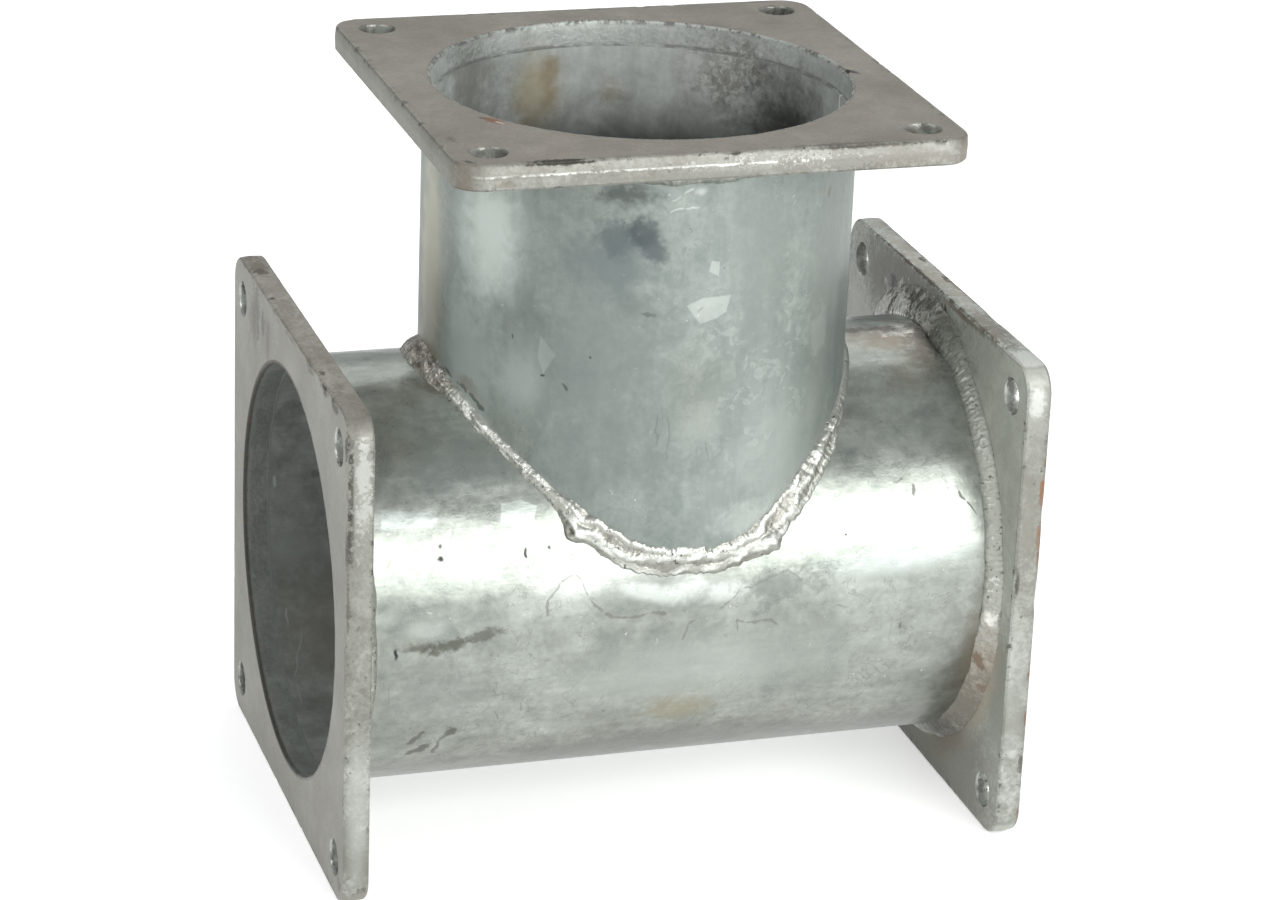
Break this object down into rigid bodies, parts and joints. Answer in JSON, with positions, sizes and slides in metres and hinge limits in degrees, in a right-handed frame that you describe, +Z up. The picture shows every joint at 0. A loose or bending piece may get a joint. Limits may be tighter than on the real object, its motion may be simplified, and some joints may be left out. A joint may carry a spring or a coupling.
{
  "type": "flanged pipe tee",
  "caption": "Welded steel pipe tee with equal run and branch, square bolted flanges and a saddle-cut branch, galvanised after welding.",
  "frame": {"origin": "on the floor, straight below the crossing of the run and branch axes, midway between the two run flanges", "axes": "+X along the run towards the right flange, +Y away from the pictured side, +Z up the branch"},
  "size_m": [0.276, 0.2, 0.294],
  "materials": {
    "tube": "zinc dipped, grey with faint crystals, stains and scrapes",
    "plate": "zinc dipped, dull warm grey with chips and rust specks",
    "weld": "zinc dipped over a rippled hand-laid bead"
  },
  "bodies": {
    "root": {"run_pipe": "tube", "branch_pipe": "tube", "left_flange": "plate", "right_flange": "plate", "branch_flange": "plate", "saddle_weld": "weld", "left_flange_weld": "weld", "right_flange_weld": "weld", "branch_flange_weld": "weld"}
  },
  "joints": []
}
